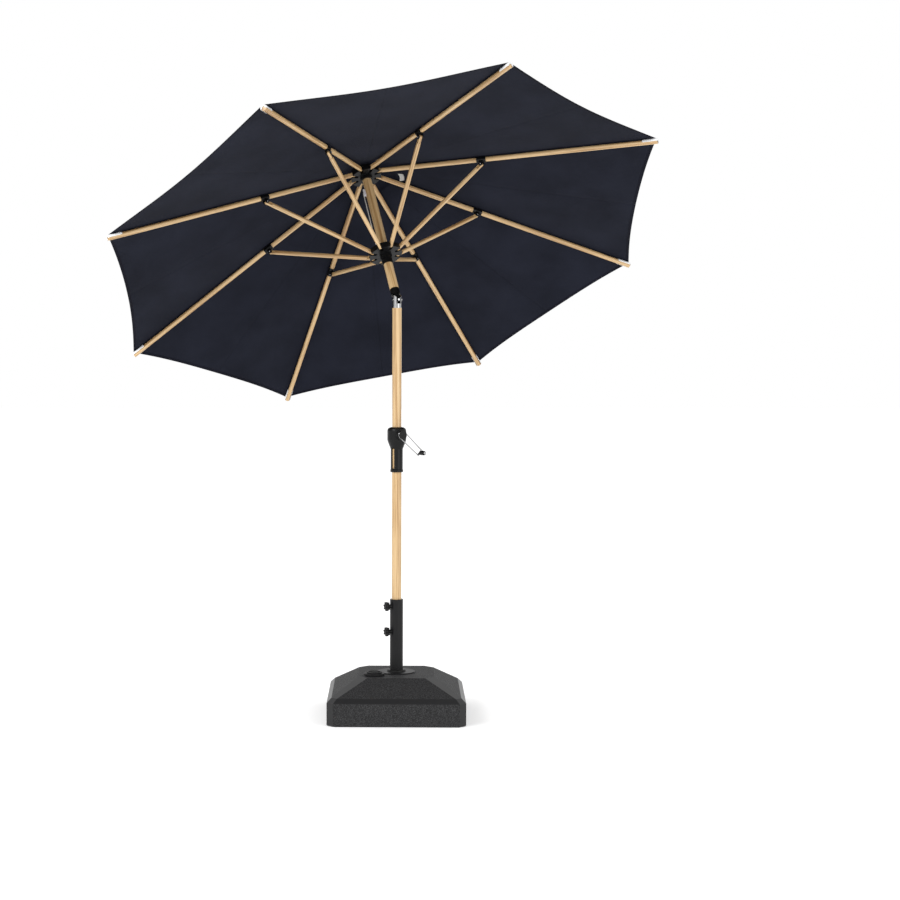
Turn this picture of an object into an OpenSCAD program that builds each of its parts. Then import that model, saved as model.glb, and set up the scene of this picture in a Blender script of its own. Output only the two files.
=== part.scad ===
// Patio umbrella on a fillable base: eight ribs, a crank lift and a push-button tilt.
// Millimetres, +Z up, origin at the centre of the base's underside.

/* [Base] */
// Width of the square tank
tank_w = 540; // [520:10:600]
// Height of the tank's flat top above the ground
tank_h = 172; // [166:1:180]
// Width of the tank's flat top
plate_w = 300; // [290:5:320]
// Height of the top of the upright tube
base_tube_top = 464; // [460:1:480]
// Depth of the ballast in the tank
fill_h = 78; // [40:1:85]
// Direction in which the clamp knobs stand out
knob_azimuth = 210; // [200:1:225]

/* [Pole] */
// Radius of the pole below the crank
lower_pole_r = 19; // [18.8:0.1:19]
// Radius of the pole above the crank
upper_pole_r = 18.2; // [18:0.1:18.2]
// Height of the crank's axle
crank_z = 1118; // [1114:1:1122]
// Direction in which the crank faces
crank_azimuth = -60; // [-70:1:-50]
// Angle of the handle about the crank's axle
handle_turn = 48; // [30:1:60]
// Height of the tilt pivot
pivot_z = 1648; // [1600:1:1700]
// Lean of the upper pole from upright
tilt = 32; // [8:8:32]
// Direction in which the upper pole leans
lean_azimuth = 113.7; // [90:0.1:135]

/* [Canopy] */
// Height of the runner's pins along the upper pole
runner_z = 219; // [215:1:225]
// Height of the top hub's pins along the upper pole
hub_z = 600; // [590:1:610]
// Angle of the first rib about the upper pole
rib_azimuth = 251.5; // [240:0.5:262]
// Angle of the ribs below level
droop = 19.1; // [16:0.1:21]
// Length of a rib from its pin
rib_len = 1156; // [1100:1:1200]
// Distance of a strut's bracket along its rib
strut_at = 447; // [430:1:460]
// Inward curve of the hem between two ribs
scallop = 28; // [0:1:40]

/* [Hidden] */
$fn = 48;
ribs = 8;
rib_step = 360 / ribs;
wood = "#c39c6b";
black = "#18181a";
chrome = "#c9ccd0";
navy = "#20222f";
white = "#ececea";
// Tank: wall, and its outline at each level as [height, width, corner cut]
tank_t = 4;
tank_levels = [
    [0, tank_w - 8, 25],
    [4, tank_w, 25],
    [90, tank_w, 25],
    [108, tank_w - 36, 22],
    [tank_h, plate_w, 37]
];
skin = 0.01;
base_tube_r = 26;
base_tube_bore = 24;
socket_floor = 10;
cap_at = [-87, -87, 0];
neck_r = 24;
knob_heights = [437, 336];
stud_r = 4;
sleeve_bottom = 300;
// Pole sections and the crank
lower_pole_top = 1062;
mid_pole_bottom = 1066;
mid_pole_top = pivot_z - 33;
lower_bore = lower_pole_r - 1.6;
upper_bore = upper_pole_r - 1.5;
spool_bore = 12.6;
wire_r = 2;
wire_turn_r = 15.5;
wire_z = 43.5;
arm = 108;
arm_half = 12.2;
wire_touch = atan2(arm_half, arm) + acos(wire_turn_r / norm([arm, arm_half]));
cord_r = 1.75;
cord_side = 13.1;
yoke_r = 17.5;
tilt_pin_r = 4;
// Ribs, struts and the pins they turn on
hub_pin_r = 52;
runner_pin_r = 56;
pin_r = 3;
pin_play = 0.05;
open_play = 1.3;
rib_r = 9.5;
strut_r = 8.5;
tongue_t = 10;
slot_w = 12;
bracket_drop = 22;
strut_foot = [runner_pin_r, runner_z];
strut_head = [
    hub_pin_r + strut_at * cos(droop) - bracket_drop * sin(droop),
    hub_z - strut_at * sin(droop) - bracket_drop * cos(droop)
];
strut_len = norm(strut_head - strut_foot);
strut_rise = atan2(strut_head[1] - strut_foot[1], strut_head[0] - strut_foot[0]);
// Fabric over the ribs, and the vent cap over its opening
fabric_over_rib = 13.2;
fabric_t = 0.8;
seam_gap = 0.3;
canopy_apex = hub_z + fabric_over_rib / cos(droop) + hub_pin_r * tan(droop);
canopy_corner_r = hub_pin_r + (rib_len - 4) * cos(droop) + fabric_over_rib * sin(droop);
vent_r = 130;
vent_cap_r = 190;
vent_cap_apex = 643;
vent_cap_droop = 17.2;
// Lift cord's pulley on the upper pole
cord_azimuth = rib_azimuth - 1.5 * rib_step;
pulley_z = 514;
pulley_at = 16;
pulley_turn_r = 11.2;
cord_lug_top = runner_z + 17;
pole_top = 640;

function cut_square(w, c) = let (h = w / 2) [
    [h, c - h], [h, h - c], [h - c, h], [c - h, h],
    [-h, h - c], [-h, c - h], [c - h, -h], [h - c, -h]
];
function unit2(v) = v / norm(v);
function mitre(p, i) =
    let (
        a = i > 0 ? unit2(p[i] - p[i - 1]) : unit2(p[1] - p[0]),
        b = i < len(p) - 1 ? unit2(p[i + 1] - p[i]) : a,
        m = a + b
    ) [-m[1], m[0]] * 2 / (m * m);
function level_z(z, t) = z < 50 ? z + t : z - t * z / tank_h;
function rib_turn(i) = rib_azimuth + rib_step * (i - 1);

module slab(z, w, cut) {
    translate([0, 0, z > 50 ? z - skin : z])
        linear_extrude(skin)
            polygon(cut_square(w, cut));
}
module tank_form(t) {
    hull()
        for (l = tank_levels)
            slab(level_z(l[0], t), l[1] - 2 * t, l[2]);
}
// Local +Z points outwards from the pole, local +X points down
module radial(azimuth, z) {
    translate([0, 0, z])
        rotate([0, 0, azimuth])
            rotate([0, 90, 0])
                children();
}
module rod(a, b, r) {
    d = b - a;
    translate(a)
        rotate([0, acos(d[2] / norm(d)), atan2(d[1], d[0])])
            cylinder(r = r, h = norm(d));
}
// A round wire along a flat route in the XY plane
module wire(route, r, sides) {
    n = len(route);
    points = [
        for (i = [0:n - 1], k = [0:sides - 1])
            let (a = 360 * (k + 0.5) / sides, p = route[i] + r * cos(a) * mitre(route, i))
                [p[0], p[1], r * sin(a)]
    ];
    faces = concat(
        [[for (k = [0:sides - 1]) k]],
        [[for (k = [0:sides - 1]) n * sides - 1 - k]],
        [for (i = [0:n - 2], k = [0:sides - 1]) let (j = (k + 1) % sides)
            [i * sides + k, (i + 1) * sides + k, (i + 1) * sides + j, i * sides + j]]
    );
    polyhedron(points, faces);
}
module cross_pin(r, l) {
    rotate([90, 0, 0])
        cylinder(r = r, h = l, center = true);
}
module along(r, l) {
    rotate([0, 90, 0])
        cylinder(r = r, h = l);
}
module pivot_frame() {
    translate([0, 0, pivot_z])
        rotate([0, 0, lean_azimuth])
            children();
}
module lean_frame() {
    pivot_frame()
        rotate([0, tilt, 0])
            children();
}
module upper_frame() {
    lean_frame()
        rotate([0, 0, -lean_azimuth])
            children();
}
module cord_frame() {
    upper_frame()
        rotate([0, 0, cord_azimuth])
            children();
}
module rib_frame(i) {
    upper_frame()
        rotate([0, 0, rib_turn(i)])
            translate([hub_pin_r, 0, hub_z])
                rotate([0, droop, 0])
                    children();
}
module strut_frame(i) {
    upper_frame()
        rotate([0, 0, rib_turn(i)])
            translate([runner_pin_r, 0, runner_z])
                rotate([0, -strut_rise, 0])
                    children();
}
module round_pins(pin_at, z) {
    for (i = [1:ribs])
        rotate([0, 0, rib_turn(i)])
            translate([pin_at, 0, z])
                cross_pin(pin_r, 26);
}
module slots(inner, z, h) {
    for (i = [1:ribs])
        rotate([0, 0, rib_turn(i)])
            translate([inner, -slot_w / 2, z])
                cube([50, slot_w, h]);
}

module base_tank() {
    color(black)
        difference() {
            union() {
                difference() {
                    tank_form(0);
                    tank_form(tank_t);
                }
                translate([0, 0, 1])
                    cylinder(r = base_tube_r + tank_t, h = tank_h - 2);
                translate(cap_at + [0, 0, tank_h - 20])
                    cylinder(r = neck_r + 3, h = 19);
            }
            translate([0, 0, socket_floor])
                cylinder(r = base_tube_r + pin_play, h = tank_h);
            translate(cap_at + [0, 0, tank_h - 21])
                cylinder(r = neck_r, h = 40);
        }
}
module ballast_fill() {
    color("#b7a27c")
        difference() {
            intersection() {
                tank_form(tank_t + 0.4);
                translate([-tank_w, -tank_w, 0])
                    cube([2 * tank_w, 2 * tank_w, fill_h]);
            }
            cylinder(r = base_tube_r + tank_t + 0.4, h = tank_h);
        }
}
module cap_seal() {
    color("#333333")
        translate(cap_at + [0, 0, tank_h])
            difference() {
                cylinder(r = 38, h = 2);
                translate([0, 0, -1])
                    cylinder(r = neck_r + 1, h = 4);
            }
}
module fill_cap() {
    color(black)
        translate(cap_at + [0, 0, tank_h])
            difference() {
                union() {
                    translate([0, 0, -14])
                        cylinder(r = neck_r - 0.3, h = 18);
                    translate([0, 0, 2.4])
                        cylinder(r = 41, h = 7);
                    translate([0, 0, 9])
                        cylinder(r = 30, h = 6);
                }
                difference() {
                    translate([0, 0, 10])
                        cylinder(r = 24, h = 10);
                    rotate([0, 0, 35])
                        translate([-30, -4, 0])
                            cube([60, 8, 20]);
                }
            }
}
module base_tube() {
    color(black)
        difference() {
            union() {
                translate([0, 0, socket_floor])
                    cylinder(r = base_tube_r, h = base_tube_top - socket_floor);
                for (z = knob_heights)
                    radial(knob_azimuth, z)
                        translate([0, 0, 24.5])
                            cylinder(r = 8, h = 10);
            }
            translate([0, 0, socket_floor - 1])
                cylinder(r = base_tube_bore, h = base_tube_top);
            for (z = knob_heights)
                radial(knob_azimuth, z)
                    translate([0, 0, 15])
                        cylinder(r = stud_r + pin_play, h = 25);
        }
}
module base_flange() {
    bore = base_tube_r + pin_play;
    color(black)
        rotate_extrude()
            translate([0, tank_h])
                polygon([[bore, 0], [74, 0], [74, 2.5], [72.5, 4], [37, 4], [36, 10], [34, 11], [bore, 11]]);
}
module reducer_sleeve() {
    color("#222224")
        difference() {
            translate([0, 0, sleeve_bottom])
                cylinder(r = base_tube_bore - 0.1, h = base_tube_top - sleeve_bottom);
            translate([0, 0, sleeve_bottom - 1])
                cylinder(r = lower_pole_r + 0.4, h = base_tube_top);
            for (z = knob_heights)
                radial(knob_azimuth, z)
                    translate([0, 0, 15])
                        cylinder(r = stud_r + 0.5, h = 25);
        }
}
module clamp_knob(z) {
    grip = [for (k = [0:69]) let (a = k * 36 / 7, q = 15.5 + 3 * cos(7 * a)) q * [cos(a), sin(a)]];
    color(black)
        radial(knob_azimuth, z) {
            translate([0, 0, lower_pole_r + 0.4])
                cylinder(r = stud_r, h = 20);
            translate([0, 0, 38])
                linear_extrude(12)
                    polygon(grip);
            translate([0, 0, 49])
                cylinder(r = 9, h = 3);
        }
}
module pole_plug() {
    color(black) {
        translate([0, 0, 12])
            cylinder(r = lower_pole_r, h = 4);
        translate([0, 0, 15])
            cylinder(r = lower_bore - 0.05, h = 25);
    }
}
module lower_pole() {
    color(wood)
        difference() {
            translate([0, 0, 16])
                cylinder(r = lower_pole_r, h = lower_pole_top - 16);
            translate([0, 0, 15])
                cylinder(r = lower_bore, h = lower_pole_top);
        }
}
module crank_housing() {
    color(black)
        difference() {
            union() {
                rotate_extrude()
                    polygon([
                        [0, 970], [25, 970], [25.5, 972], [25.5, 979], [24, 981], [24, 1060],
                        [27, 1068], [36, 1091], [37.5, 1098], [37.5, 1134], [35, 1141],
                        [28, 1146], [20, 1147.5], [0, 1147.5]
                    ]);
                radial(crank_azimuth, crank_z)
                    cylinder(r = 22, h = 41);
            }
            translate([0, 0, 969])
                cylinder(r = lower_pole_r + pin_play, h = lower_pole_top - 968);
            translate([0, 0, lower_pole_top])
                cylinder(r = upper_pole_r + pin_play, h = 100);
            rotate([0, 0, 230])
                translate([15, -6, 984])
                    cube([15, 12, 82]);
            radial(crank_azimuth, crank_z)
                cylinder(r = spool_bore, h = 35);
            radial(crank_azimuth, crank_z)
                translate([0, 0, 34])
                    cylinder(r = 18, h = 20);
        }
}
module mid_pole() {
    color(wood)
        difference() {
            translate([0, 0, mid_pole_bottom])
                cylinder(r = upper_pole_r, h = mid_pole_top - mid_pole_bottom);
            translate([0, 0, mid_pole_bottom - 1])
                cylinder(r = upper_bore, h = mid_pole_top);
            radial(crank_azimuth, crank_z)
                translate([0, 0, -25])
                    cylinder(r = spool_bore, h = 50);
        }
}
module crank_hub() {
    color(black)
        radial(crank_azimuth, crank_z)
            difference() {
                union() {
                    translate([0, 0, 35])
                        cylinder(r = 17, h = 6.5);
                    translate([0, 0, 41])
                        cylinder(r = wire_turn_r - wire_r - 0.1, h = 5);
                    translate([0, 0, 45.5])
                        cylinder(r = 17, h = 3);
                }
                translate([0, 0, 34])
                    cylinder(r = 5, h = 6);
            }
}
module cord_spool() {
    color(white)
        radial(crank_azimuth, crank_z) {
            translate([0, 0, -12])
                cylinder(r = 8, h = 24);
            for (z = [-12, 9.5])
                translate([0, 0, z])
                    cylinder(r = 12, h = 2.5);
            translate([0, 0, 11])
                cylinder(r = 5, h = 29);
        }
}
module cord_winding() {
    color(white)
        radial(crank_azimuth, crank_z)
            difference() {
                translate([0, 0, -9.5])
                    cylinder(r = 11, h = 19);
                translate([0, 0, -10])
                    cylinder(r = 8, h = 20);
            }
}
module crank_handle() {
    bend = [for (k = [0:12]) let (a = wire_touch + k * (360 - 2 * wire_touch) / 12) wire_turn_r * [cos(a), sin(a)]];
    color(chrome)
        radial(crank_azimuth, crank_z)
            rotate([0, 0, handle_turn])
                translate([0, 0, wire_z]) {
                    wire(concat([[arm, arm_half]], bend, [[arm, -arm_half]]), wire_r, 10);
                    translate([arm - 3.6, -arm_half - 2.6, -2.3])
                        cube([7.2, 2 * arm_half + 5.2, 4.6]);
                    translate([arm, 0, 0])
                        cylinder(r = 3, h = 38);
                    translate([arm, 0, 37.5])
                        cylinder(r = 5, h = 1.5);
                }
}
module crank_grip() {
    color(black)
        radial(crank_azimuth, crank_z)
            rotate([0, 0, handle_turn])
                translate([arm, 0, wire_z + 4])
                    rotate_extrude()
                        polygon([
                            [3.06, 0], [6, 0], [8.4, 2.5], [9, 6], [9, 26], [8.4, 30],
                            [6, 33], [3.06, 33]
                        ]);
}
module lift_cord_lower() {
    side = crank_azimuth + 90;
    foot = [cord_side * cos(side), cord_side * sin(side), crank_z];
    color(white)
        rod(foot, [0, 0, pivot_z - 0.8], cord_r);
}
module tilt_yoke() {
    color(chrome)
        pivot_frame()
            difference() {
                union() {
                    translate([0, 0, -33])
                        cylinder(r = yoke_r, h = 33);
                    translate([0, 0, -33])
                        cylinder(r = upper_pole_r, h = 3);
                    translate([0, 0, -70])
                        cylinder(r = upper_bore - 0.05, h = 38);
                    intersection() {
                        cylinder(r = yoke_r, h = 18);
                        cross_pin(yoke_r, 40);
                    }
                }
                translate([-20, -8.8, -16])
                    cube([40, 17.6, 40]);
                translate([0, 0, -71])
                    cylinder(r = 6, h = 71);
                cross_pin(tilt_pin_r, 40);
            }
}
module tilt_pins() {
    color(chrome)
        pivot_frame()
            for (s = [-1, 1]) {
                translate([0, s * 12.6, 0])
                    cross_pin(tilt_pin_r, 10.4);
                translate([0, s * 18.4, 0])
                    cross_pin(6, 1.6);
            }
}
module tilt_knuckle() {
    color(black)
        lean_frame()
            difference() {
                union() {
                    cross_pin(14, 17);
                    translate([-11, -8.5, 0])
                        cube([22, 17, 24]);
                    translate([0, 0, 21])
                        cylinder(r = upper_pole_r, h = 27);
                    translate([0, 0, 47])
                        cylinder(r = upper_bore - 0.05, h = 32);
                }
                translate([0, 0, -1])
                    cylinder(r = 5.5, h = 90);
                rotate([90, 0, 0])
                    linear_extrude(11, center = true)
                        polygon([[-5.5, 1], [-5.5, -20], [16, -20], [5.5, 1]]);
                cross_pin(tilt_pin_r + pin_play, 30);
                rotate([0, -tilt, 0])
                    translate([-20, 0, 0])
                        along(4.1, 15);
            }
}
module tilt_button() {
    color(chrome)
        lean_frame()
            rotate([0, -tilt, 0])
                translate([-18.5, 0, 0])
                    along(4, 9.2);
}
module upper_pole() {
    color(wood)
        upper_frame()
            difference() {
                translate([0, 0, 48])
                    cylinder(r = upper_pole_r, h = pole_top - 48);
                translate([0, 0, 47])
                    cylinder(r = upper_bore, h = pole_top);
                rotate([0, 0, cord_azimuth])
                    translate([8, -5.6, pulley_z - 12])
                        cube([14, 11.2, 31]);
            }
}
module top_hub() {
    color(black)
        upper_frame()
            difference() {
                union() {
                    translate([0, 0, hub_z - 13])
                        cylinder(r = 62, h = 26);
                    translate([0, 0, hub_z - 26])
                        cylinder(r = 25, h = 14);
                }
                translate([0, 0, hub_z - 30])
                    cylinder(r = upper_pole_r + pin_play, h = 60);
                slots(36, hub_z - 14, 28);
                round_pins(hub_pin_r, hub_z);
            }
}
module hub_pins() {
    color(chrome)
        upper_frame()
            round_pins(hub_pin_r, hub_z);
}
module runner() {
    color(black)
        upper_frame()
            difference() {
                union() {
                    translate([0, 0, runner_z - 53])
                        cylinder(r = 21, h = 25);
                    translate([0, 0, runner_z - 29])
                        cylinder(r = 24, h = 45);
                    translate([0, 0, runner_z - 11])
                        cylinder(r = 66, h = 22);
                    rotate([0, 0, cord_azimuth])
                        translate([pulley_at + pulley_turn_r, 0, runner_z + 10])
                            cylinder(r = 4, h = cord_lug_top - runner_z - 10);
                }
                translate([0, 0, runner_z - 60])
                    cylinder(r = upper_pole_r + 0.35, h = 90);
                slots(40, runner_z - 12, 24);
                round_pins(runner_pin_r, runner_z);
            }
}
module runner_pins() {
    color(chrome)
        upper_frame()
            round_pins(runner_pin_r, runner_z);
}
module rib(i) {
    color(wood)
        rib_frame(i)
            difference() {
                union() {
                    cross_pin(8, tongue_t);
                    translate([0, -tongue_t / 2, -7])
                        cube([26, tongue_t, 14]);
                    translate([20, 0, 0])
                        along(rib_r, rib_len - 20);
                }
                cross_pin(pin_r + pin_play, 20);
                translate([30, 0, 0])
                    along(rib_r - 1.2, rib_len - 32);
            }
}
module bracket(i) {
    color(black)
        rib_frame(i)
            translate([strut_at, 0, 0]) {
                difference() {
                    union() {
                        translate([-19, 0, 0])
                            along(12.5, 38);
                        for (s = [-1, 1])
                            translate([0, s * 8, 0]) {
                                translate([-8, -2, -bracket_drop])
                                    cube([16, 4, bracket_drop]);
                                translate([0, 0, -bracket_drop])
                                    cross_pin(8, 4);
                            }
                    }
                    translate([-20, 0, 0])
                        along(rib_r, 40);
                }
                translate([0, 0, -bracket_drop])
                    cross_pin(pin_r, 22);
                for (s = [-1, 1])
                    translate([0, s * 11, -bracket_drop])
                        cross_pin(5, 2);
            }
}
module strut(i) {
    color(wood)
        strut_frame(i)
            difference() {
                union() {
                    cross_pin(8, tongue_t);
                    translate([0, -tongue_t / 2, -6.5])
                        cube([28, tongue_t, 13]);
                    translate([22, 0, 0])
                        along(strut_r, strut_len - 46);
                    translate([strut_len - 30, -tongue_t / 2, -6.5])
                        cube([30, tongue_t, 13]);
                    translate([strut_len, 0, 0])
                        cross_pin(7, tongue_t);
                }
                cross_pin(pin_r + pin_play, 20);
                translate([strut_len, 0, 0])
                    cross_pin(pin_r + open_play, 20);
                translate([32, 0, 0])
                    along(strut_r - 1.1, strut_len - 66);
            }
}
module fabric_panels(apex, slope, r_in, r_out, dip) {
    half_step = rib_step / 2;
    plane = atan(tan(slope) / cos(half_step));
    half = cos(plane) * tan(half_step);
    m_in = r_in * cos(half_step) / cos(plane);
    m_out = r_out * cos(half_step) / cos(plane);
    hem = [for (t = [-1:0.25:1]) let (m = m_out - dip * (1 - t * t)) [m, t * (m * half - seam_gap)]];
    inner = m_in * half - seam_gap;
    for (i = [1:ribs])
        rotate([0, 0, rib_turn(i) + half_step])
            translate([0, 0, apex])
                rotate([0, plane, 0])
                    linear_extrude(fabric_t)
                        polygon(concat(hem, [[m_in, inner], [m_in, -inner]]));
}
module canopy() {
    color(navy)
        upper_frame()
            fabric_panels(canopy_apex, droop, vent_r, canopy_corner_r, scallop);
}
module vent_cap() {
    color(navy)
        upper_frame()
            fabric_panels(vent_cap_apex, vent_cap_droop, 26, vent_cap_r, 4);
}
module finial() {
    color(black)
        upper_frame() {
            rotate_extrude()
                polygon([
                    [0, 641], [18.3, 641], [34, 635.4], [35, 637], [24, 645], [12, 650],
                    [15, 662], [14, 675], [8, 684], [0, 686]
                ]);
            translate([0, 0, 615])
                cylinder(r = upper_bore - 0.1, h = 27);
        }
}
module pulley_bracket() {
    color(white)
        cord_frame() {
            for (s = [-1, 1])
                translate([12, s * 4.4 - 1, pulley_z - 11])
                    cube([14, 2, 29]);
            translate([20, -5.4, pulley_z + 15.5])
                cube([6, 10.8, 2.5]);
            translate([pulley_at, 0, pulley_z])
                cross_pin(2, 10);
        }
}
module pulley_wheel() {
    color(white)
        cord_frame()
            translate([pulley_at, 0, pulley_z])
                difference() {
                    union() {
                        cross_pin(9.1, 6);
                        for (s = [-1, 1])
                            translate([0, s * 2.6, 0])
                                cross_pin(11, 0.8);
                    }
                    cross_pin(2 + pin_play, 10);
                }
}
module lift_cord_upper() {
    over = [for (a = [180:-15:0]) [pulley_at + pulley_turn_r * cos(a), pulley_z + pulley_turn_r * sin(a)]];
    color(white)
        cord_frame()
            rotate([90, 0, 0])
                wire(concat([[0, 0.8]], over, [[pulley_at + pulley_turn_r, pulley_z - 3]]), cord_r, 8);
}
module lift_cord_outer() {
    color(white)
        cord_frame()
            translate([pulley_at + pulley_turn_r, 0, cord_lug_top + 0.4])
                cylinder(r = cord_r, h = pulley_z - 3 - cord_lug_top - 0.4);
}

base_tank();
ballast_fill();
cap_seal();
base_tube();
base_flange();
reducer_sleeve();
fill_cap();
clamp_knob(knob_heights[0]);  // upper_knob
clamp_knob(knob_heights[1]);  // lower_knob
pole_plug();
lower_pole();
crank_housing();
mid_pole();
tilt_yoke();
tilt_pins();
lift_cord_lower();
crank_hub();
cord_spool();
cord_winding();
crank_handle();
crank_grip();
tilt_knuckle();
tilt_button();
upper_pole();
top_hub();
hub_pins();
pulley_bracket();
pulley_wheel();
finial();
vent_cap();
canopy();
lift_cord_upper();
lift_cord_outer();
runner();
runner_pins();
rib(1);  // rib_1
rib(2);  // rib_2
rib(3);  // rib_3
rib(4);  // rib_4
rib(5);  // rib_5
rib(6);  // rib_6
rib(7);  // rib_7
rib(8);  // rib_8
bracket(1);  // bracket_1
bracket(2);  // bracket_2
bracket(3);  // bracket_3
bracket(4);  // bracket_4
bracket(5);  // bracket_5
bracket(6);  // bracket_6
bracket(7);  // bracket_7
bracket(8);  // bracket_8
strut(1);  // strut_1
strut(2);  // strut_2
strut(3);  // strut_3
strut(4);  // strut_4
strut(5);  // strut_5
strut(6);  // strut_6
strut(7);  // strut_7
strut(8);  // strut_8
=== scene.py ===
"""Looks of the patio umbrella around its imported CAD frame. Metres, +Z up."""

import math

import bmesh
import bpy
from mathutils import Matrix, Vector


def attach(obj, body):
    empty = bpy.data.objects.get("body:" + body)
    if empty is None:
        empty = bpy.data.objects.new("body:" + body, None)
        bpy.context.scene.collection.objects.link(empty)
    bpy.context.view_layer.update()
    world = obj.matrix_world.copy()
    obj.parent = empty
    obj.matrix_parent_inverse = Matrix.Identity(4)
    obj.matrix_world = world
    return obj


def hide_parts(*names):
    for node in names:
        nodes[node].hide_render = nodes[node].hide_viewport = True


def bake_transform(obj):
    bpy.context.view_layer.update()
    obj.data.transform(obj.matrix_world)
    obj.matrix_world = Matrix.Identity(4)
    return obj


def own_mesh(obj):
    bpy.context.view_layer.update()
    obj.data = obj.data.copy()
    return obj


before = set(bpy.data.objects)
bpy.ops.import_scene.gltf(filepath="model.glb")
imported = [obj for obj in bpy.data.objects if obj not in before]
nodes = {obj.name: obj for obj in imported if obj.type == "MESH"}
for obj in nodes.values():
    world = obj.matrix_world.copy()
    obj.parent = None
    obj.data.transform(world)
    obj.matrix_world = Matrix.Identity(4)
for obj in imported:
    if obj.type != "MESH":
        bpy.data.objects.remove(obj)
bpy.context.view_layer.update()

# ---------- driving sizes of the head, as in the CAD part ----------

PIVOT = Vector((0, 0, 1.648))
LEAN, TILT = math.radians(113.7), math.radians(32)
RIBS = range(1, 9)
FIRST, STEP = math.radians(251.5), math.radians(45)
DROOP = math.radians(19.1)
HUB_R, HUB_Z = 0.052, 0.600
RUNNER_R, RUNNER_Z = 0.056, 0.219
RIB_LEN, STRUT_AT, BRACKET_DROP = 1.156, 0.447, 0.022

# ---------- sizes of the cloth and the cord ----------

OVER_RIB = 0.0132
APEX = HUB_Z + OVER_RIB / math.cos(DROOP) + HUB_R * math.tan(DROOP)
HEM_SHORT = 0.004  # the hem ends this far before the rib does
HEM_R = HUB_R + (RIB_LEN - HEM_SHORT) * math.cos(DROOP) + OVER_RIB * math.sin(DROOP)
SCALLOP = 0.028 * 0.93 / math.cos(STEP / 2)  # close to the CAD's 28 mm, from the ribs' circle inwards
DIP = 0.010  # of the cloth between two ribs, at the hem
VENT_R = 0.130
FLAP, FLAP_LIFT = 0.0022, 0.0004
HEM_BAND = 0.012
CAP_R, CAP_HOLE_R, CAP_APEX = 0.190, 0.026, 0.643
CAP_SLOPE = math.radians(17.2)
CAP_SCALLOP, CAP_DIP = 0.004, 0.003
CORD_AT = FIRST - 1.5 * STEP
PULLEY_AT, PULLEY_TURN_R = 0.016, 0.0112
CORD_THICK_R = 0.00175
CORD_TOP, CORD_FOOT = 0.511, RUNNER_Z + 0.0174

# ---------- the leaning head's frame ----------

X, Y, Z = Vector((1, 0, 0)), Vector((0, 1, 0)), Vector((0, 0, 1))
UP = Matrix.Rotation(LEAN, 3, "Z") @ Matrix.Rotation(TILT, 3, "Y") @ Matrix.Rotation(-LEAN, 3, "Z")
HEAD_Z = (UP @ Z).normalized()
HEAD_X, HEAD_Y = (UP @ X).normalized(), (UP @ Y).normalized()


def head(p):
    """A point of the upright head, measured from the tilt pivot, in the row frame."""
    return PIVOT + UP @ Vector(p)


def around(angle, r, z=0.0):
    """A point at this angle and radius about the upright head's axis."""
    return Vector((r * math.cos(angle), r * math.sin(angle), z))


def rib_azimuth(i):
    return FIRST + STEP * (i - 1)


def rib_point(i, x, y=0.0, z=0.0):
    """A point given along, across and above rib i, from its pin."""
    a = rib_azimuth(i)
    r = HUB_R + x * math.cos(DROOP) + z * math.sin(DROOP)
    h = HUB_Z - x * math.sin(DROOP) + z * math.cos(DROOP)
    return head((r * math.cos(a) - y * math.sin(a), r * math.sin(a) + y * math.cos(a), h))


def rib_axes(i):
    """The directions along, across and above rib i."""
    pin = rib_point(i, 0)
    return [(rib_point(i, *step) - pin).normalized() for step in ((1, 0, 0), (0, 1, 0), (0, 0, 1))]


def strut_direction(i):
    """From the strut's pin in the runner to the bracket on rib i."""
    a = rib_azimuth(i)
    top_r = HUB_R + STRUT_AT * math.cos(DROOP) - BRACKET_DROP * math.sin(DROOP)
    top_z = HUB_Z - STRUT_AT * math.sin(DROOP) - BRACKET_DROP * math.cos(DROOP)
    return (head(around(a, top_r, top_z)) - head(around(a, RUNNER_R, RUNNER_Z))).normalized()


# ---------- colours and materials ----------


def srgb(r, g, b):
    def linear(channel):
        channel /= 255
        return channel / 12.92 if channel <= 0.04045 else ((channel + 0.055) / 1.055) ** 2.4

    return (linear(r), linear(g), linear(b), 1)


def shaded(colour, factor):
    """The colour made darker or lighter."""
    return [channel * factor for channel in colour[:3]] + [1]


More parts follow.
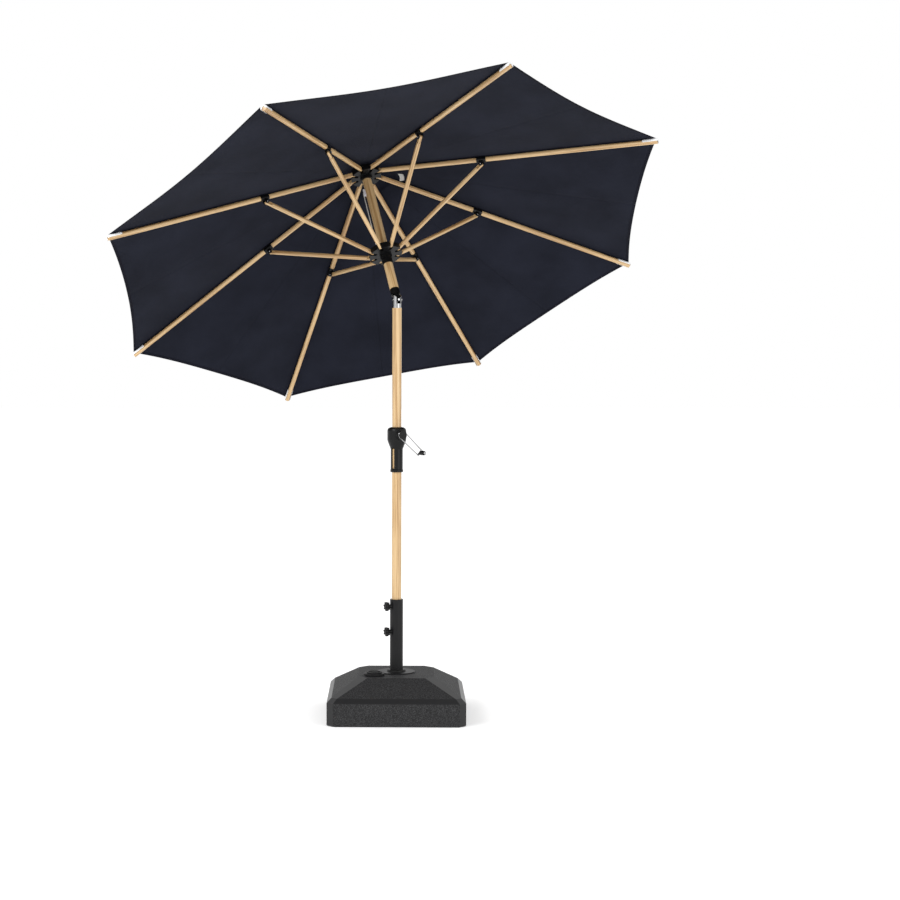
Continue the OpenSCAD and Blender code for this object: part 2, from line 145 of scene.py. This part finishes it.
class Mat:
    """One node material while it is built."""

    def __init__(self, name, colour, rough, **sockets):
        self.material = bpy.data.materials.new(name)
        self.material.use_nodes = True
        self.tree = self.material.node_tree
        self.shader = self.tree.nodes["Principled BSDF"]
        self.shader.inputs["Base Color"].default_value = colour
        self.shader.inputs["Roughness"].default_value = rough
        for socket, value in sockets.items():
            self.shader.inputs[socket.replace("_", " ")].default_value = value
        self.space = self.tree.nodes.new("ShaderNodeTexCoord").outputs["Object"]
        self.normal = None

    def node(self, kind, **values):
        made = self.tree.nodes.new(kind)
        for key, value in values.items():
            setattr(made, key, value)
        return made

    def link(self, source, target):
        self.tree.links.new(source, target)

    def calc(self, operation, *operands):
        """A math node on numbers and other nodes' outputs."""
        made = self.node("ShaderNodeMath", operation=operation)
        for k, operand in enumerate(operands):
            if isinstance(operand, float):
                made.inputs[k].default_value = operand
            else:
                self.link(operand, made.inputs[k])
        return made.outputs[0]

    def scaled(self, scale, axes=None):
        """Coordinates scaled per axis; axes turns them to a piece's own directions first."""
        out = self.space
        if axes:
            turned = self.node("ShaderNodeCombineXYZ")
            for k, axis in enumerate(axes):
                dot = self.node("ShaderNodeVectorMath", operation="DOT_PRODUCT")
                dot.inputs[1].default_value = tuple(axis)
                self.link(self.space, dot.inputs[0])
                self.link(dot.outputs["Value"], turned.inputs[k])
            out = turned.outputs[0]
        stretch = self.node("ShaderNodeVectorMath", operation="MULTIPLY")
        stretch.inputs[1].default_value = scale
        self.link(out, stretch.inputs[0])
        return stretch.outputs[0]

    def noise(self, coords, scale, detail=3.0, rough=0.55):
        texture = self.node("ShaderNodeTexNoise")
        texture.inputs["Scale"].default_value = scale
        texture.inputs["Detail"].default_value = detail
        texture.inputs["Roughness"].default_value = rough
        self.link(coords, texture.inputs["Vector"])
        return texture.outputs["Fac"]

    def wave(self, coords, scale, direction, **sockets):
        texture = self.node("ShaderNodeTexWave", wave_type="BANDS", bands_direction=direction)
        texture.inputs["Scale"].default_value = scale
        for socket, value in sockets.items():
            texture.inputs[socket].default_value = value
        self.link(coords, texture.inputs["Vector"])
        return texture.outputs["Fac"]

    def colour(self, fac, stops):
        """Base colour from a ramp of (position, colour) stops."""
        ramp = self.node("ShaderNodeValToRGB")
        elements = ramp.color_ramp.elements
        while len(elements) < len(stops):
            elements.new(0.5)
        for element, (position, colour) in zip(elements, stops):
            element.position = position
            element.color = colour
        self.link(fac, ramp.inputs["Fac"])
        self.link(ramp.outputs["Color"], self.shader.inputs["Base Color"])

    def rough(self, fac, low, high):
        spread = self.node("ShaderNodeMapRange")
        spread.inputs["To Min"].default_value = low
        spread.inputs["To Max"].default_value = high
        self.link(fac, spread.inputs["Value"])
        self.link(spread.outputs["Result"], self.shader.inputs["Roughness"])

    def bump(self, height, strength, distance):
        """A bump on top of those already there."""
        bump = self.node("ShaderNodeBump")
        bump.inputs["Strength"].default_value = strength
        bump.inputs["Distance"].default_value = distance
        self.link(height, bump.inputs["Height"])
        if self.normal:
            self.link(self.normal, bump.inputs["Normal"])
        self.normal = bump.outputs["Normal"]
        self.link(self.normal, self.shader.inputs["Normal"])


def moulded(name, shade, rough, grain=0.0006, scale=900.0, strength=0.25):
    """Moulded plastic or powder coat: a fine grain and slow changes of shade."""
    tone = (shade, shade, shade * 1.08, 1)
    mat = Mat(name, tone, rough, Specular_IOR_Level=0.2)
    slow = mat.noise(mat.space, 9.0, 4.0)
    mat.colour(slow, [(0.3, shaded(tone, 0.75)), (0.7, shaded(tone, 1.35))])
    mat.rough(slow, rough - 0.05, rough + 0.08)
    mat.bump(mat.noise(mat.space, scale), strength, grain)
    return mat.material


WOOD_TONES = ((0.46, (122, 88, 52)), (0.60, (168, 130, 84)), (0.74, (201, 168, 120)))
WOOD_LIGHTEST = (0.92, (214, 184, 140))


def wood(name, axes, shift=0.0):
    """Printed wood grain on a tube: long streaks along axes[0], darker with more shift."""
    mat = Mat(name, srgb(198, 164, 116), 0.36, Coat_Weight=0.25, Coat_Roughness=0.3)
    streak = mat.noise(mat.scaled((2.2, 110.0, 110.0), axes), 1.0, 4.0)
    fine = mat.noise(mat.scaled((9.0, 620.0, 620.0), axes), 1.0, 2.0)
    stops = [(at + shift, srgb(*tone)) for at, tone in WOOD_TONES]
    stops.append((WOOD_LIGHTEST[0], srgb(*WOOD_LIGHTEST[1])))
    mat.colour(mat.calc("MULTIPLY_ADD", fine, 0.45, streak), stops)
    mat.rough(fine, 0.28, 0.46)
    mat.bump(fine, 0.12, 0.0003)
    return mat.material


def metal(name, shade, rough, brush=0.0):
    """Bright metal; brush adds lines across Z."""
    mat = Mat(name, (shade, shade, shade * 1.01, 1), rough, Metallic=1.0)
    lines = mat.noise(mat.scaled((60.0, 60.0, 900.0 if brush else 60.0)), 1.0, 3.0)
    mat.rough(lines, rough * 0.7, rough * 1.4)
    mat.bump(lines, 0.05 + brush, 0.0002)
    return mat.material


THREAD_SCALE = 340.0  # a wave texture repeats every 0.314 / scale: threads 0.92 mm apart


def fabric(name, colour, across, along, sheer=0.12):
    """Plain woven cloth with a soft sheen, slow changes of shade and some light through it."""
    mat = Mat(name, colour, 0.9, Sheen_Weight=0.02, Sheen_Roughness=0.5, Specular_IOR_Level=0.06)
    threads = []
    for first, second in ((across, along), (along, across)):
        coords = mat.scaled((1, 1, 1), [first, second, across.cross(along)])
        threads.append(mat.wave(coords, THREAD_SCALE, "X", Distortion=0.6, Detail=1.0))
    weave = mat.calc("MULTIPLY", *threads)
    slow = mat.noise(mat.space, 5.0, 3.0)
    mat.colour(
        mat.calc("MULTIPLY_ADD", weave, 0.35, slow),
        [(0.35, shaded(colour, 0.72)), (0.85, shaded(colour, 1.45))],
    )
    mat.bump(weave, 0.35, 0.0004)
    mat.bump(slow, 0.25, 0.004)
    through = mat.node("ShaderNodeBsdfTranslucent")
    through.inputs["Color"].default_value = [min(1, channel) for channel in shaded(colour, 2.2)]
    blend = mat.node("ShaderNodeMixShader")
    blend.inputs["Fac"].default_value = sheer
    mat.link(mat.shader.outputs[0], blend.inputs[1])
    mat.link(through.outputs[0], blend.inputs[2])
    mat.link(blend.outputs[0], mat.tree.nodes["Material Output"].inputs["Surface"])
    return mat.material


def cord(name, axes):
    """White cord with diagonal strands."""
    mat = Mat(name, srgb(232, 231, 226), 0.8, Sheen_Weight=0.2)
    strands = mat.wave(mat.scaled((1, 1, 1), axes), 260.0, "DIAGONAL")
    mat.colour(strands, [(0.2, srgb(188, 187, 180)), (0.7, srgb(238, 237, 233))])
    mat.bump(strands, 0.5, 0.0005)
    return mat.material


BAND_Z, BAND_HALF = 0.099, 0.0095  # the tank's chamfer, 90 to 108 mm above the ground


def tank_plastic():
    """Grained plastic, with the smooth band above the wall and the smooth hips at the corners."""
    mat = Mat("tank_plastic", (0.008, 0.008, 0.0085, 1), 0.55, Specular_IOR_Level=0.32)
    place = mat.node("ShaderNodeSeparateXYZ")
    mat.link(mat.space, place.inputs[0])
    facing = mat.node("ShaderNodeSeparateXYZ")
    mat.link(mat.node("ShaderNodeNewGeometry").outputs["Normal"], facing.inputs[0])
    from_band = mat.calc("ABSOLUTE", mat.calc("SUBTRACT", place.outputs["Z"], BAND_Z))
    off_band = mat.calc("GREATER_THAN", from_band, BAND_HALF)
    # a hip or a cut corner faces as much along X as along Y, and a level face along neither
    facing_x, facing_y = (mat.calc("ABSOLUTE", facing.outputs[axis]) for axis in ("X", "Y"))
    unlike = mat.calc("ABSOLUTE", mat.calc("SUBTRACT", facing_x, facing_y))
    off_hip = mat.calc("GREATER_THAN", unlike, 0.12)
    level = mat.calc("LESS_THAN", mat.calc("ADD", facing_x, facing_y), 0.2)
    grained = mat.calc("MULTIPLY", off_band, mat.calc("MAXIMUM", off_hip, level))
    # specks of shade around a middle tone
    speck = mat.calc("SUBTRACT", mat.noise(mat.space, 420.0, 2.0, 0.7), 0.5)
    tone = mat.calc("ADD", mat.calc("MULTIPLY", mat.calc("MULTIPLY", speck, grained), 3.0), 0.5)
    mat.colour(tone, [
        (0.15, (0.0025, 0.0025, 0.003, 1)),
        (0.5, (0.010, 0.010, 0.0108, 1)),
        (0.85, (0.045, 0.045, 0.047, 1)),
    ])
    mat.rough(grained, 0.34, 0.66)
    pits = mat.node("ShaderNodeTexVoronoi", feature="F1")
    pits.inputs["Scale"].default_value = 330.0
    mat.link(mat.space, pits.inputs["Vector"])
    mat.bump(mat.calc("MULTIPLY", pits.outputs["Distance"], grained), 0.6, 0.0013)
    return mat.material


NAVY = srgb(25, 27, 36)
TAPE = srgb(19, 20, 29)
BLACK = moulded("black_plastic", 0.004, 0.28)
KNOB = moulded("knob_plastic", 0.006, 0.5, 0.0008, 700.0, 0.4)
GRIP = moulded("grip_plastic", 0.004, 0.4)
PAINT = moulded("powder_coat", 0.007, 0.42, 0.0004, 1400.0, 0.35)
WHITE = moulded("white_plastic", 0.72, 0.4)
POCKET = fabric("tip_pocket_cloth", srgb(236, 237, 238), X, Y, 0.1)
RUBBER = moulded("seal_rubber", 0.02, 0.85)
SAND = moulded("gravel", 0.35, 0.9, 0.004, 160.0, 0.8)
CHROME = metal("bright_metal", 0.40, 0.2)
SILVER = metal("rivet_metal", 0.55, 0.24, 0.1)
CORD_LEANING = cord("cord_leaning", (HEAD_Z, HEAD_X, HEAD_Y))

# ---------- materials of the CAD nodes ----------


def dress(material, *names):
    for name in names:
        nodes[name].data.materials.clear()
        nodes[name].data.materials.append(material)


dress(tank_plastic(), "base_tank")
dress(KNOB, "fill_cap", "upper_knob", "lower_knob")
dress(PAINT, "base_tube", "base_flange")
dress(BLACK, "reducer_sleeve", "pole_plug", "crank_housing", "crank_hub", "tilt_knuckle")
dress(BLACK, "top_hub", "runner", "finial")
dress(GRIP, "crank_grip")
dress(CHROME, "tilt_yoke", "tilt_pins", "crank_handle", "tilt_button")
dress(SILVER, "hub_pins", "runner_pins")
dress(wood("wood_print_upright", (Z, X, Y)), "lower_pole", "mid_pole")
dress(wood("wood_print_leaning", (HEAD_Z, HEAD_X, HEAD_Y)), "upper_pole")
dress(cord("cord_upright", (Z, X, Y)), "cord_winding", "lift_cord_lower")
dress(CORD_LEANING, "lift_cord_upper")
dress(WHITE, "cord_spool", "pulley_bracket", "pulley_wheel")
dress(RUBBER, "cap_seal")
dress(SAND, "ballast_fill")
for i in RIBS:
    along, across, above = rib_axes(i)
    strut = strut_direction(i)
    dress(wood(f"wood_print_rib_{i}", (along, across, above)), f"rib_{i}")
    dress(wood(f"wood_print_strut_{i}", (strut, across, strut.cross(across)), 0.02), f"strut_{i}")
    dress(BLACK, f"bracket_{i}")

# ---------- mesh helpers ----------


def steps(count):
    """Fractions from 0 to 1 in this many equal steps."""
    return [k / count for k in range(count + 1)]


def full_turn(count):
    """This many angles, spread evenly around a circle."""
    return [2 * math.pi * k / count for k in range(count)]


def make(name, verts, faces, material, smooth=True):
    mesh = bpy.data.meshes.new(name)
    mesh.from_pydata([tuple(v) for v in verts], [], faces)
    mesh.validate()
    mesh.materials.append(material)
    mesh.update()
    if smooth:
        mesh.polygons.foreach_set("use_smooth", [True] * len(mesh.polygons))
    made = bpy.data.objects.new(name, mesh)
    bpy.context.scene.collection.objects.link(made)
    return made


def grid(name, rows, material, closed=False):
    """A surface through rows of points; closed joins each row's end to its start."""
    n = len(rows[0])
    verts = [point for row in rows for point in row]
    faces = []
    for a in range(len(rows) - 1):
        for b in range(n if closed else n - 1):
            c = (b + 1) % n
            faces.append((a * n + b, a * n + c, (a + 1) * n + c, (a + 1) * n + b))
    return make(name, verts, faces, material)


def lathe(name, origin, axis, side, profile, material, turns=20):
    """A closed turned form: profile is [radius, distance along the axis]."""
    axis, side = axis.normalized(), side.normalized()
    other = axis.cross(side)
    rows = []
    for r, h in profile:
        spokes = [side * math.cos(t) + other * math.sin(t) for t in full_turn(turns)]
        rows.append([origin + axis * h + spoke * max(r, 1e-5) for spoke in spokes])
    turned = grid(name, rows, material, closed=True)
    bm = bmesh.new()
    bm.from_mesh(turned.data)
    bmesh.ops.remove_doubles(bm, verts=bm.verts, dist=3e-5)
    bmesh.ops.holes_fill(bm, edges=bm.edges, sides=turns + 1)
    bmesh.ops.recalc_face_normals(bm, faces=bm.faces)
    bm.to_mesh(turned.data)
    bm.free()
    return turned


# ---------- canopy: one sewn piece around each rib, reaching to both mid-lines ----------


def over_rib(i, r, lift=0.0):
    """A point of the upright cloth on rib i's line, at this radius."""
    return around(rib_azimuth(i), r, APEX + lift - r * math.tan(DROOP))


def cloth(i, r, s):
    """A point of the upright cloth at radius r: s is 0 at rib i, and -1 or 1 at the middle of the gore
    on either side. The cloth is taut and dips a little. Past the middle it is a narrow flap that laps
    over the next piece, so that no gap opens as the ribs fold."""
    towards = 1 if s > 0 else -1
    s = abs(s)
    flap = s > 1
    if flap:
        s = 1 + FLAP / (r * math.sin(STEP / 2))
    p = over_rib(i, r).lerp(over_rib(i + towards, r), s / 2)
    p.z += FLAP_LIFT * flap - DIP * (r / HEM_R) * math.sin(math.pi * s / 2) ** 2
    return p


def hem_r(s):
    """The hem's radius, which is largest at the rib and smallest at the middle of the gore."""
    return HEM_R - SCALLOP * (1 - (1 - min(abs(s), 1)) ** 2)


PANEL_ROWS, HALF_CELLS = 44, 14
FLAP_CELL = 1.01
HALF_GORE = steps(HALF_CELLS)[1:] + [FLAP_CELL]
GORE = [-s for s in reversed(HALF_GORE)] + [0.0] + HALF_GORE


def drape(piece, i):
    """The piece moves with its rib and gets a mesh of its own."""
    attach(piece, f"rib_{i}")
    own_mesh(piece)


def canopy_panel(i, material):
    rows = []
    for f in steps(PANEL_ROWS):
        rows.append([head(cloth(i, VENT_R + (hem_r(s) - VENT_R) * f, s)) for s in GORE])
    panel = grid(f"canopy_panel_{i}", rows, material)
    if i == 1:
        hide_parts("canopy")
    drape(panel, i)


# The folded hem, as [distance in from the edge, distance below the cloth]
HEM_FOLD = ((HEM_BAND, 0.0006), (0.006, 0.0014), (0.0, 0.0012), (-0.0008, 0.0))


def hem(i, material):
    rows = []
    for inward, below in HEM_FOLD:
        rows.append([head(cloth(i, hem_r(s) - inward, s) - Z * below) for s in GORE])
    drape(grid(f"hem_{i}", rows, material), i)


# Half the seam under the cloth, as [distance from the rib's line, height]: a fold beside a groove
SEAM_HALF = ((0.003, -0.0018), (0.009, -0.0016), (0.011, -0.0003))
SEAM = [(-y, z) for y, z in reversed(SEAM_HALF)] + [(0, -0.0008)] + list(SEAM_HALF)
SEAM_ROWS = 39


def seam(i, material):
    across = around(rib_azimuth(i) + math.pi / 2, 1)
    rows = []
    for f in steps(SEAM_ROWS):
        r = VENT_R + (HEM_R - HEM_BAND - VENT_R) * f
        rows.append([head(over_rib(i, r, z) + across * y) for y, z in SEAM])
    drape(grid(f"seam_{i}", rows, material), i)


# The white pocket over a rib's end, as [distance past the rib's end, radius]
POCKET_PROFILE = (
    (-0.056, 0.0106), (-0.0565, 0.0116), (-0.054, 0.0122), (-0.030, 0.0119), (-0.006, 0.0121),
    (0.001, 0.0118), (0.0026, 0.0108), (0.0030, 0.0085), (0.0028, 0.005),
)
POCKET_END, POCKET_FLARE = -0.01, 1.05
POCKET_FROM, POCKET_SWEEP, POCKET_CELLS = -18, 216, 24  # degrees, except the cells
POCKET_CLOTH = 0.0008


def tip_pocket(i):
    """A half sleeve over the rib's end, a little wider at the end and open underneath."""
    rows = []
    angles = [math.radians(POCKET_FROM + POCKET_SWEEP * f) for f in steps(POCKET_CELLS)]
    for x, r in POCKET_PROFILE:
        wide = r if x < POCKET_END else r * POCKET_FLARE
        rows.append([rib_point(i, RIB_LEN + x, wide * math.cos(t), r * math.sin(t)) for t in angles])
    pocket = grid(f"tip_pocket_{i}", rows, POCKET)
    thick = pocket.modifiers.new("thick", "SOLIDIFY")
    thick.thickness = POCKET_CLOTH
    thick.offset = -1
    bpy.context.view_layer.update()
    evaluated = pocket.evaluated_get(bpy.context.evaluated_depsgraph_get())
    solid = bpy.data.meshes.new_from_object(evaluated)
    pocket.modifiers.clear()
    pocket.data = solid
    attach(pocket, f"rib_{i}")


BRACKET_SIDE = 0.0119
RIVET_HEAD = ((0.0034, 0.0), (0.0034, 0.0004), (0.0028, 0.0011), (0.0014, 0.0015), (0.0, 0.0016))


def rivets(i):
    """The two heads of the silver rivet through rib i's bracket."""
    along, across, _ = rib_axes(i)
    for letter, side in (("a", -1), ("b", 1)):
        at = rib_point(i, STRUT_AT, side * BRACKET_SIDE, -BRACKET_DROP)
        rivet = lathe(f"rivet_{i}_{letter}", at, across * side, along, RIVET_HEAD, SILVER)
        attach(rivet, f"rib_{i}")


for i in RIBS:
    along, across, _ = rib_axes(i)
    canopy_panel(i, fabric(f"canopy_cloth_{i}", NAVY, across, along))
    tape = fabric(f"seam_tape_{i}", TAPE, across, along, 0.02)
    hem(i, tape)
    seam(i, tape)
    tip_pocket(i)
    rivets(i)

# ---------- vent cap: a smooth small canopy over the opening ----------

CAP_ROWS, CAP_CELLS = 15, 12
GORES = range(len(RIBS))


def cap_point(gore, s, f):
    """s runs from 0 to 1 across the gore, and f from the hole to the rim."""
    r = CAP_HOLE_R + (CAP_R - CAP_SCALLOP * math.sin(math.pi * s) - CAP_HOLE_R) * f
    p = around(FIRST + STEP * gore, r).lerp(around(FIRST + STEP * (gore + 1), r), s)
    p.z = CAP_APEX - r * math.tan(CAP_SLOPE) - CAP_DIP * (r / CAP_R) * math.sin(math.pi * s)
    return p


rows = []
for f in steps(CAP_ROWS):
    rows.append([head(cap_point(gore, k / CAP_CELLS, f)) for gore in GORES for k in range(CAP_CELLS)])
cap = grid("vent_cap_cloth", rows, fabric("vent_cap_fabric", NAVY, HEAD_X, HEAD_Y), closed=True)
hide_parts("vent_cap")
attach(cap, "top")

# ---------- care tag: hangs from the canopy near the vent, with a slight curl ----------

TAG_AT = math.radians(4.0)
TAG_R, TAG_BELOW_APEX = 0.138, 0.052
TAG_WIDE, TAG_HIGH = 0.018, 0.036
TAG_BOW, TAG_CURL = 0.004, 0.001
tag_out, tag_side = around(TAG_AT, 1), around(TAG_AT + math.pi / 2, 1)
rows = []
for f in steps(9):
    middle = tag_out * (TAG_R + TAG_BOW * math.sin(math.pi * f)) + Z * (APEX - TAG_BELOW_APEX - TAG_HIGH * f)
    row = []
    for g in steps(6):
        curl = tag_side * TAG_CURL * math.sin(math.pi * g)
        row.append(head(middle + tag_out * (TAG_WIDE * (g - 0.5)) + curl))
    rows.append(row)
tag = grid("care_tag", rows, fabric("tag_cloth", srgb(226, 226, 222), HEAD_Y, HEAD_Z, 0.2))
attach(tag, "top")

# ---------- lift cord outside the upper pole, and its knot at the runner ----------


def cord_centre(z):
    """A point of the cord's centre line, midway between ribs 7 and 8."""
    return around(CORD_AT, PULLEY_AT + PULLEY_TURN_R, z)


rows = []
for f in steps(59):
    centre = cord_centre(CORD_TOP + (CORD_FOOT - CORD_TOP) * f)
    rows.append([head(centre + around(t, CORD_THICK_R)) for t in full_turn(12)])
run = grid("lift_cord_run", rows, CORD_LEANING, closed=True)
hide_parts("lift_cord_outer")
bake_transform(run)

KNOT_SUNK = 0.001
KNOT_PROFILE = (
    (0.0, 0.0), (0.0032, 0.0006), (0.0046, 0.003), (0.0040, 0.005),
    (0.0047, 0.007), (0.0038, 0.0098), (0.0018, 0.0112), (0.0, 0.0114),
)
knot_at = head(cord_centre(CORD_FOOT - KNOT_SUNK))
knot = lathe("cord_knot", knot_at, HEAD_Z, HEAD_X, KNOT_PROFILE, CORD_LEANING)
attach(knot, "runner")

# ---------- floor, light and camera ----------

FLOOR = [(-30, -12, 0), (30, -12, 0), (30, 40, 0), (-30, 40, 0)]
floor_mat = Mat("floor", (0.9, 0.9, 0.9, 1), 0.9, Specular_IOR_Level=0.0)
floor_mat.shader.inputs["Emission Color"].default_value = (1, 1, 1, 1)
floor_mat.shader.inputs["Emission Strength"].default_value = 0.28
floor = make("floor", FLOOR, [(0, 1, 2, 3)], floor_mat.material, smooth=False)

world = bpy.data.worlds.new("studio")
bpy.context.scene.world = world
world.use_nodes = True
world.node_tree.nodes["Background"].inputs["Color"].default_value = (1, 1, 1, 1)
world.node_tree.nodes["Background"].inputs["Strength"].default_value = 1.0


LIT = Vector((0, 0, 1.4))


def area_light(name, at, size, power):
    """A square light aimed at the pole below the canopy."""
    data = bpy.data.lights.new(name, "AREA")
    data.size = size
    data.energy = power
    light = bpy.data.objects.new(name, data)
    light.location = at
    light.rotation_euler = (LIT - Vector(at)).to_track_quat("-Z", "Y").to_euler()
    bpy.context.scene.collection.objects.link(light)


area_light("key", (-3.5, -4.0, 3.6), 2.5, 130)
area_light("fill", (4.0, -4.5, 1.2), 3.0, 60)

camera = bpy.data.cameras.new("camera")
camera.sensor_width = 36
camera.lens = 76.93
camera.shift_x = 0.1057
camera.shift_y = 0.0595
camera.clip_end = 200
eye = bpy.data.objects.new("camera", camera)
eye.location = (0, -7.591, 1.45)
eye.rotation_euler = (math.pi / 2 - 0.0796, 0, 0.0218)
bpy.context.scene.collection.objects.link(eye)
bpy.context.scene.camera = eye
bpy.context.scene.view_settings.view_transform = "Standard"

bpy.context.view_layer.update()
